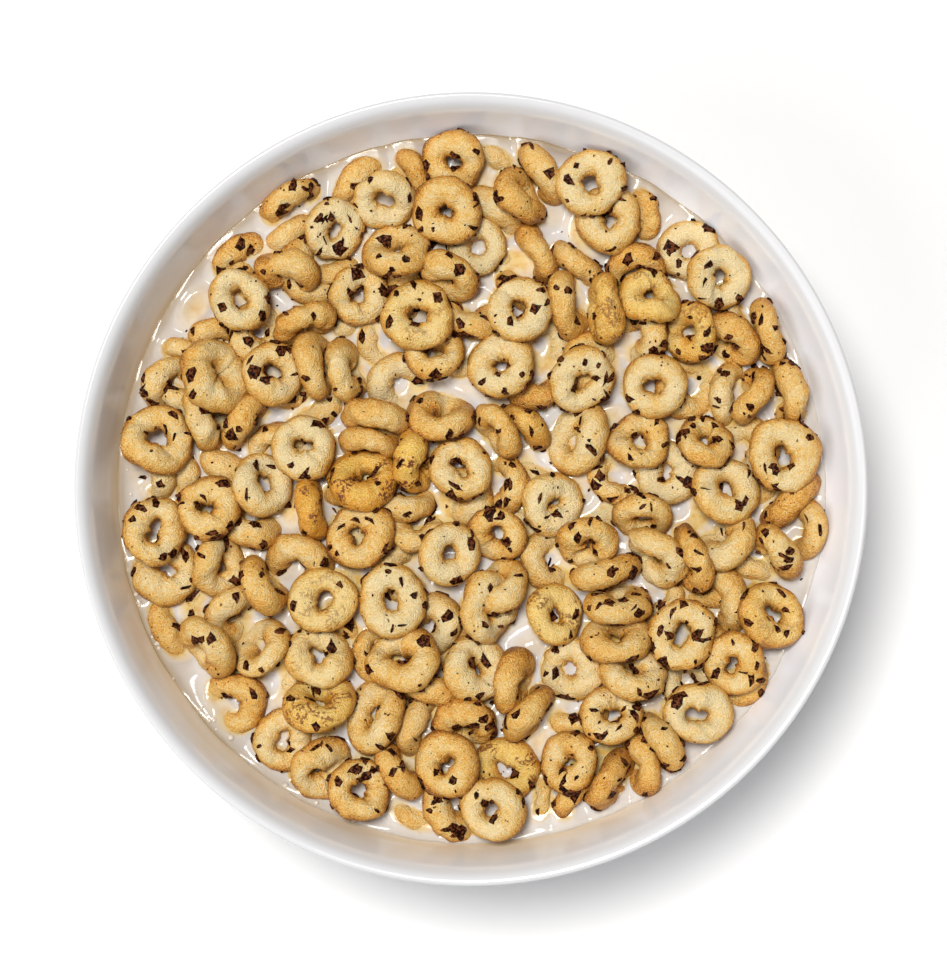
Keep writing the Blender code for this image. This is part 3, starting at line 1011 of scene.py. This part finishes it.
@dataclass
class Milk:
    """The milk's surface, which climbs a little on the bowl and on every ring that stands in it.

    Its height is level + climb * exp(-gap / fade), with gap the distance to the nearest ring.
    """

    bowl: Bowl
    heap: RingHeap
    level: float
    climb: float = 1.45 * MM
    fade: float = 1.55 * MM
    film_fade: float = 1.25 * MM
    depth: float = 7.0 * MM
    raster: float = 0.25 * MM
    cells: int = 290

    def __post_init__(self) -> None:
        """Works out the distance to the rings and the height of their tops on a raster."""
        self.reach = float(self.bowl.inner_radius(self.level + self.climb)) + 0.25 * MM
        self.half = int(self.reach / self.raster) + 4
        points, tube = self.heap.spine()
        shape = (2 * self.half + 1, 2 * self.half + 1)
        self.gap = np.full(shape, 9.0 * MM)
        self.top = np.full(shape, -1.0)
        self._lay(points, tube, 5.5 * MM, self._gap_of, np.minimum, self.gap)
        self._lay(points, tube, 3.2 * MM, self._top_of, np.maximum, self.top)

    def _gap_of(self, across: Array, height: Array, tube: Array) -> Array:
        """Distance from a bead to the point of the milk's level above or beside it."""
        return np.hypot(across, height - self.level) - tube

    @staticmethod
    def _top_of(across: Array, height: Array, tube: Array) -> Array:
        """Height of a bead's top: z + sqrt(t ** 2 - d ** 2), and far below beside the bead."""
        inside = tube**2 - across**2
        return np.where(inside > 0.0, height + np.sqrt(np.maximum(inside, 0.0)), -1.0)

    def _lay(
        self, points: Array, tube: Array, reach: float, value: Worth, choose: np.ufunc, raster: Array
    ) -> None:
        """Lays each bead's value on the raster's cells around it.

        Args:
            points: (N, 3) places of the beads.
            tube: (N,) their radii.
            reach: how far around a bead the cells are worked out.
            value: what a cell is worth, from its distance across, the bead's height and its radius.
            choose: keeps the least or the most of what falls on a cell.
            raster: the cells, changed in place.
        """
        span = np.arange(-int(reach / self.raster), int(reach / self.raster) + 1)
        near = points[:, 2] > self.level - 9.0 * MM
        points, tube = points[near], tube[near]
        cell = np.round(points[:, :2] / self.raster).astype(int)
        i = cell[:, 0, None, None] + span[None, :, None]
        j = cell[:, 1, None, None] + span[None, None, :]
        x, y, z = points.T[:, :, None, None]
        across = np.hypot(i * self.raster - x, j * self.raster - y)
        values = value(across, z, tube[:, None, None])
        i, j = np.broadcast_arrays(i + self.half, j + self.half)
        held = (i >= 0) & (j >= 0) & (i < len(raster)) & (j < len(raster))
        choose.at(raster, (i[held], j[held]), values[held])

    def sample(self, raster: Array, x: Array, y: Array) -> Array:
        """Reads the raster between its points, in proportion to their nearness."""
        u = np.clip(x / self.raster + self.half, 0, len(raster) - 1.001)
        v = np.clip(y / self.raster + self.half, 0, len(raster) - 1.001)
        i, j = u.astype(int), v.astype(int)
        s, t = u - i, v - j
        low = raster[i, j] * (1 - s) + raster[i + 1, j] * s
        high = raster[i, j + 1] * (1 - s) + raster[i + 1, j + 1] * s
        return low * (1 - t) + high * t

    def height(self, x: Array, y: Array) -> Array:
        """Height of the milk's surface."""
        gap = np.maximum(self.sample(self.gap, x, y), 0.0)
        wall = np.maximum(self.bowl.inner_radius(self.level) - np.hypot(x, y), 0.0)
        rise = np.exp(-gap / self.fade) + 0.8 * np.exp(-wall / self.fade)
        return self.level + self.climb * np.minimum(rise, 1.25)

    def film(self, x: Array, y: Array, height: Array) -> Array:
        """How much of a sunk ring shows through: exp(-depth / fade)."""
        below = np.maximum(height - self.sample(self.top, x, y), 0.0)
        return np.exp(-below / self.film_fade)

    def painted_shore_shadow(self, x: Array, y: Array) -> Array:
        """The painted shadow along the bowl: 0.45 exp(-d / 5 mm) + 0.5 exp(-d / 1.2 mm), at d from the wall.

        It is strongest at the back left: a soft step in cos(t - 140 degrees), t the angle about Z.
        """
        wall = np.maximum(self.bowl.inner_radius(self.level + self.climb) - np.hypot(x, y), 0.0)
        # Painted shadow: strongest on the side of the bowl that the wall shades.
        side = 0.35 + 0.65 * smooth_step(np.cos(np.arctan2(y, x) - math.radians(140.0)), -0.7, 0.4)
        return side * (0.45 * np.exp(-wall / (5.0 * MM)) + 0.50 * np.exp(-wall / (1.2 * MM)))

    def _disc(self) -> tuple[Array, Array]:
        """A square grid carried onto the disc: its square shells become circles of the same area."""
        side = np.linspace(-1.0, 1.0, self.cells + 1)
        u, v = np.meshgrid(side, side, indexing="ij")
        wide = np.abs(u) > np.abs(v)
        reach = np.where(wide, u, v)
        safe = np.where(reach == 0.0, 1.0, reach)
        angle = np.where(wide, math.pi / 4.0 * v / safe, math.pi / 2.0 - math.pi / 4.0 * u / safe)
        return self.reach * reach * np.cos(angle), self.reach * reach * np.sin(angle)

    def build(self) -> bpy.types.Object:
        """Makes the milk, closed below the surface by a skirt along the bowl and a flat floor.

        Returns:
            The piece.
        """
        x, y = self._disc()
        z = self.height(x, y)
        film = self.film(x, y, z)
        painted_shore_shadow = self.painted_shore_shadow(x, y)
        count = self.cells + 1
        number = np.arange(count * count).reshape(count, count)
        edge = np.concatenate([number[:-1, 0], number[-1, :-1], number[:0:-1, -1], number[0, :0:-1]])
        top = np.stack([x, y, z], -1).reshape(-1, 3)
        low = self.level - self.depth
        shrink = (self.bowl.inner_radius(low) + 0.2 * MM) / self.reach
        skirt = top[edge] * [shrink, shrink, 0.0] + [0.0, 0.0, low]
        points = np.concatenate([top, skirt, [[0.0, 0.0, low]]])
        here = np.arange(len(edge))
        after = (here + 1) % len(edge)
        wall = np.stack([edge[here], len(top) + here, len(top) + after, edge[after]], -1)
        floor = fan(len(points) - 1, len(top) + here, False)
        cells = grid_quads(count, count, False, False)[:, ::-1]
        item = make_mesh("milk_surface", points, np.concatenate([cells, wall]), floor)
        for name, values in (("film", film), ("painted_shore_shadow", painted_shore_shadow)):
            stored = np.zeros(len(points))
            stored[: len(top)] = values.ravel()
            store(item, name, stored)
        dress(item, MilkFinish().build(), "milk", "milk")
        return item


# ---------------------------------------------------------------------------------------------
# Chocolate flecks and bubbles
# ---------------------------------------------------------------------------------------------


class Chip(Enum):
    """Kinds of fleck: (share, mean length, spread of length, narrowest, widest share of length)."""

    SHARD = (0.48, 2.70 * MM, 0.26, 0.50, 0.92)
    SLIVER = (0.16, 3.00 * MM, 0.24, 0.22, 0.40)
    GRIT = (0.36, 0.58 * MM, 0.35, 0.50, 0.95)


@dataclass
class Flecks:
    """Flat angular flecks of chocolate, pressed into the rings and afloat in the milk."""

    heap: RingHeap
    milk: Milk
    per_ring: float = 18.5
    afloat: int = 90
    thickness: float = 0.24 * MM
    seed: int = 21
    corners: int = 6

    def _draw(self, count: int) -> tuple[Array, Array, Array, Array]:
        """Draws flecks.

        Args:
            count: how many.

        Returns:
            Length and width of each, and the (count, corners) places of its corners along and
            across it, as shares of them.
        """
        kinds = np.array([kind.value for kind in Chip])
        kind = kinds[self.rng.choice(len(kinds), count, p=kinds[:, 0])]
        length = kind[:, 1] * np.exp(self.rng.normal(0.0, 1.0, count) * kind[:, 2])
        length = np.clip(length, 0.25 * MM, 3.9 * MM)
        width = length * self.rng.uniform(kind[:, 3], kind[:, 4])
        spread = self.rng.uniform(-0.30, 0.30, (count, self.corners))
        angle = (np.arange(self.corners) + spread) * TURN / self.corners
        jag = self.rng.uniform(0.25, 0.62, (count, self.corners))
        return length, width, jag * np.cos(angle), jag * np.sin(angle)

    def _layers(self, along: Array, across: Array, thick: Array) -> tuple[Array, Array, Array]:
        """A fleck's vertices: a small upper outline, the full outline, and a point under it.

        Returns:
            Places along, across and above the surface, each (count, 2 * corners + 2).
        """
        middle = np.zeros((len(along), 1))
        tilt = self.rng.uniform(-0.5, 0.5, (len(along), 2))
        rise = thick * (1.0 + tilt[:, :1] * np.sign(along) + tilt[:, 1:] * np.sign(across))
        parts_along = [along.mean(1, keepdims=True), along * 0.72, along, middle]
        parts_across = [across.mean(1, keepdims=True), across * 0.72, across, middle]
        outline = middle - 0.2 * thick + 0.0 * along
        parts_up = [rise.mean(1, keepdims=True), rise, outline, middle - 2.0 * thick]
        return (
            np.concatenate(parts_along, 1),
            np.concatenate(parts_across, 1),
            np.concatenate(parts_up, 1),
        )

    def _faces(self, count: int) -> tuple[Array, Array]:
        """Faces of every fleck: a fan on top, a belt of quads and a fan below."""
        here = np.arange(self.corners)
        after = (here + 1) % self.corners
        upper, lower, under = 1, 1 + self.corners, 1 + 2 * self.corners
        belt = np.stack([upper + here, lower + here, lower + after, upper + after], -1)
        fans = np.concatenate([fan(0, upper + here, True), fan(under, lower + here, False)])
        start = (np.arange(count) * (2 * self.corners + 2))[:, None, None]
        return (belt[None] + start).reshape(-1, 4), (fans[None] + start).reshape(-1, 3)

    def _map(self, count: int) -> Array:
        """The flecks' UV map: in each cell the top lies flat on the left, and the underside on the right."""
        angle = np.arange(self.corners) * TURN / self.corners
        ring = np.stack([0.24 * np.cos(angle), 0.48 * np.sin(angle)], -1)
        after = np.roll(ring, -1, 0)
        top, under = np.array([0.25, 0.5]), np.array([0.75, 0.5])
        belt = np.stack([0.7 * ring, ring, after, 0.7 * after], 1) + top
        fan = np.stack([0.0 * ring, 0.7 * ring, 0.7 * after], 1) + top
        base = np.stack([0.0 * ring, after, ring], 1) + under
        wide = math.ceil(math.sqrt(count))
        belts = spread_cells(belt, count, wide).reshape(-1, 2)
        fans = spread_cells(np.concatenate([fan, base]), count, wide).reshape(-1, 2)
        return np.concatenate([belts, fans])

    def _even_turns(self, count: int) -> Array:
        """Angles round the tube, thinned out by the room there: (R + t cos v) / (R + t)."""
        angle = self.rng.uniform(-0.45 * math.pi, math.pi, 3 * count)
        radius, tube = self.heap.mean_radius, self.heap.mean_tube
        room = (radius + tube * np.cos(angle)) / (radius + tube)
        return angle[self.rng.uniform(0.0, 1.0, len(angle)) < room][:count]

    def _pressed(self) -> Array:
        """Flecks on the rings: a fleck's plane is bent over the tube, so that it follows the surface.

        A step a along the ring is a / (C + T cos v) in u, and a step b across it is b / T in v.
        """
        heap = self.heap
        share = self.rng.gamma(6.0, 1.0 / 6.0, heap.count)
        count = int(self.per_ring * heap.count)
        ring = self.rng.choice(heap.count, count, p=share / share.sum())
        u0 = self.rng.uniform(0.0, TURN, count)
        v0 = self._even_turns(count)
        length, width, along, across = self._draw(count)
        along, across = along * length[:, None], across * width[:, None]
        thick = (self.thickness * np.clip(width / (0.8 * MM), 0.45, 1.25))[:, None]
        along, across, up = self._layers(along, across, thick)
        heading = self.rng.uniform(0.0, TURN, count)[:, None]
        step_u = along * np.cos(heading) - across * np.sin(heading)
        step_v = along * np.sin(heading) + across * np.cos(heading)
        line, _ = heap.centre_line(ring, u0)
        tube = heap.tube_radius(ring, u0, v0)
        u = u0[:, None] + step_u / (line + tube * np.cos(v0))[:, None]
        v = v0[:, None] + step_v / tube[:, None]
        return heap.surface(np.repeat(ring[:, None], u.shape[1], 1), u, v, up)

    def _floating(self) -> Array:
        """Flecks that lie flat on the milk."""
        reach = self.milk.reach * 0.97 * np.sqrt(self.rng.uniform(0.0, 1.0, self.afloat * 4))
        angle = self.rng.uniform(0.0, TURN, len(reach))
        x, y = reach * np.cos(angle), reach * np.sin(angle)
        free = self.milk.sample(self.milk.gap, x, y) > 0.25 * MM
        x, y = x[free][: self.afloat], y[free][: self.afloat]
        length, width, along, across = self._draw(len(x))
        along, across = along * length[:, None] * 0.8, across * width[:, None] * 0.8
        along, across, up = self._layers(along, across, np.full((len(x), 1), 0.6 * self.thickness))
        heading = self.rng.uniform(0.0, TURN, len(x))[:, None]
        px = x[:, None] + along * np.cos(heading) - across * np.sin(heading)
        py = y[:, None] + along * np.sin(heading) + across * np.cos(heading)
        return np.stack([px, py, self.milk.height(px, py) + up + 0.05 * MM], -1)

    def build(self) -> bpy.types.Object:
        """Makes all flecks as one piece with flat, sharp faces.

        Returns:
            The piece.
        """
        self.rng = np.random.default_rng(self.seed)
        points = np.concatenate([self._pressed(), self._floating()])
        quads, fans = self._faces(len(points))
        item = make_mesh("chocolate_flecks", points.reshape(-1, 3), quads, fans)
        store_map(item, self._map(len(points)))
        item.data.shade_flat()
        dress(item, ChocolateFinish().build(), "chocolate")
        return item


@dataclass
class Bubbles:
    """Small bubbles along the edge of the milk: half spheres x^2 + y^2 + z^2 = r^2 with a flat floor."""

    milk: Milk
    count: int = 26
    seed: int = 8
    rings: int = 7
    sides: int = 18

    def build(self) -> bpy.types.Object:
        """Makes the bubbles as one piece.

        Returns:
            The piece.
        """
        rng = np.random.default_rng(self.seed)
        radius = rng.uniform(0.22, 0.62, self.count) * MM
        angle = rng.normal(math.radians(222.0), 0.32, self.count)
        away = self.milk.reach - 0.25 * MM - radius - np.abs(rng.normal(0.0, 0.9, self.count)) * MM
        x, y = away * np.cos(angle), away * np.sin(angle)
        z = self.milk.height(x, y) - 0.15 * MM
        tilt = np.linspace(0.0, math.pi / 2.0, self.rings)[:-1]
        shell = turn_section(np.stack([np.cos(tilt), np.sin(tilt)], -1), self.sides)
        shell = np.concatenate([shell, [[0.0, 0.0, 1.0], [0.0, 0.0, 0.0]]])
        points = np.stack([x, y, z], -1)[:, None] + shell[None] * radius[:, None, None]
        here = np.arange(self.sides)
        last = (self.rings - 2) * self.sides
        fans = np.concatenate([fan(len(shell) - 2, last + here, True), fan(len(shell) - 1, here, False)])
        start = (np.arange(self.count) * len(shell))[:, None, None]
        quads = grid_quads(self.rings - 1, self.sides, False, True)
        item = make_mesh(
            "milk_bubbles",
            points.reshape(-1, 3),
            (quads[None] + start).reshape(-1, 4),
            (fans[None] + start).reshape(-1, 3),
        )
        dress(item, BubbleFinish().build(), "milk")
        return item


# ---------------------------------------------------------------------------------------------
# Studio
# ---------------------------------------------------------------------------------------------


@dataclass(frozen=True)
class SoftLight:
    """A broad distant light: its strength, its width and its way off the vertical in degrees."""

    name: str
    power: float
    spread: float
    tilt: float
    comes_from: float
    colour: Colour

    def build(self) -> None:
        """Hangs the light."""
        light = bpy.data.lights.new(self.name, "SUN")
        light.energy = self.power
        light.angle = math.radians(self.spread)
        light.color = self.colour
        item = bpy.data.objects.new(self.name, light)
        item.rotation_euler = (0.0, math.radians(self.tilt), math.radians(self.comes_from))
        bpy.context.scene.collection.objects.link(item)


OVERHEAD = SoftLight("overhead_light", 3.2, 16.0, 13.5, 124.0, (1.0, 0.985, 0.955))
WINDOW = SoftLight("window_light", 1.25, 50.0, 45.0, 216.0, (0.98, 0.99, 1.0))


@dataclass
class Studio:
    """A white table, two soft lights and an even sky, and a camera straight above."""

    bowl: Bowl
    camera_height: float = 0.90
    focal_length: float = 178.7
    aim: tuple[float, float] = (0.475 * MM, 1.71 * MM)
    sky: Colour = (0.95, 0.96, 1.0)
    sky_power: float = 0.18

    def build(self) -> None:
        """Makes the table, the lights and the camera."""
        self._table()
        self._lights()
        self._camera()
        bpy.context.scene.view_settings.view_transform = "Standard"

    def _table(self) -> None:
        """A large square of table."""
        half = 2.0
        points = np.array([(-half, -half, 0.0), (half, -half, 0.0), (half, half, 0.0), (-half, half, 0.0)])
        item = make_mesh("table", points, np.array([[0, 1, 2, 3]]))
        item.data.materials.append(FloorFinish().build())

    def _lights(self) -> None:
        """Both soft lights and the sky."""
        OVERHEAD.build()
        WINDOW.build()
        world = bpy.data.worlds.new("studio")
        world.use_nodes = True
        background = world.node_tree.nodes["Background"]
        background.inputs["Color"].default_value = (*self.sky, 1.0)
        background.inputs["Strength"].default_value = self.sky_power
        bpy.context.scene.world = world

    def _camera(self) -> None:
        """A long lens straight above the bowl, a little off its centre."""
        camera = bpy.data.cameras.new("camera")
        camera.lens = self.focal_length
        camera.clip_end = 10.0
        item = bpy.data.objects.new("camera", camera)
        item.location = (*self.aim, self.bowl.height + self.camera_height)
        bpy.context.scene.collection.objects.link(item)
        bpy.context.scene.camera = item


def report(item: bpy.types.Object) -> None:
    """Logs a piece's name and size."""
    LOG.info("%s: %d faces", item.name, len(item.data.polygons))


def main() -> None:
    """Builds the bowl, the rings, the milk, the flecks, the bubbles and the studio."""
    logging.basicConfig(level=logging.INFO, format="%(name)s: %(message)s")
    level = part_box("milk")[1].z
    bowl = Bowl()
    report(bowl.build())
    heap = RingHeap(bowl, level)
    heap.scatter()
    heap.settle()
    for item in heap.build():
        report(item)
    milk = Milk(bowl, heap, level)
    report(milk.build())
    report(Flecks(heap, milk).build())
    report(Bubbles(milk).build())
    Studio(bowl).build()


if __name__ == "__main__":
    main()
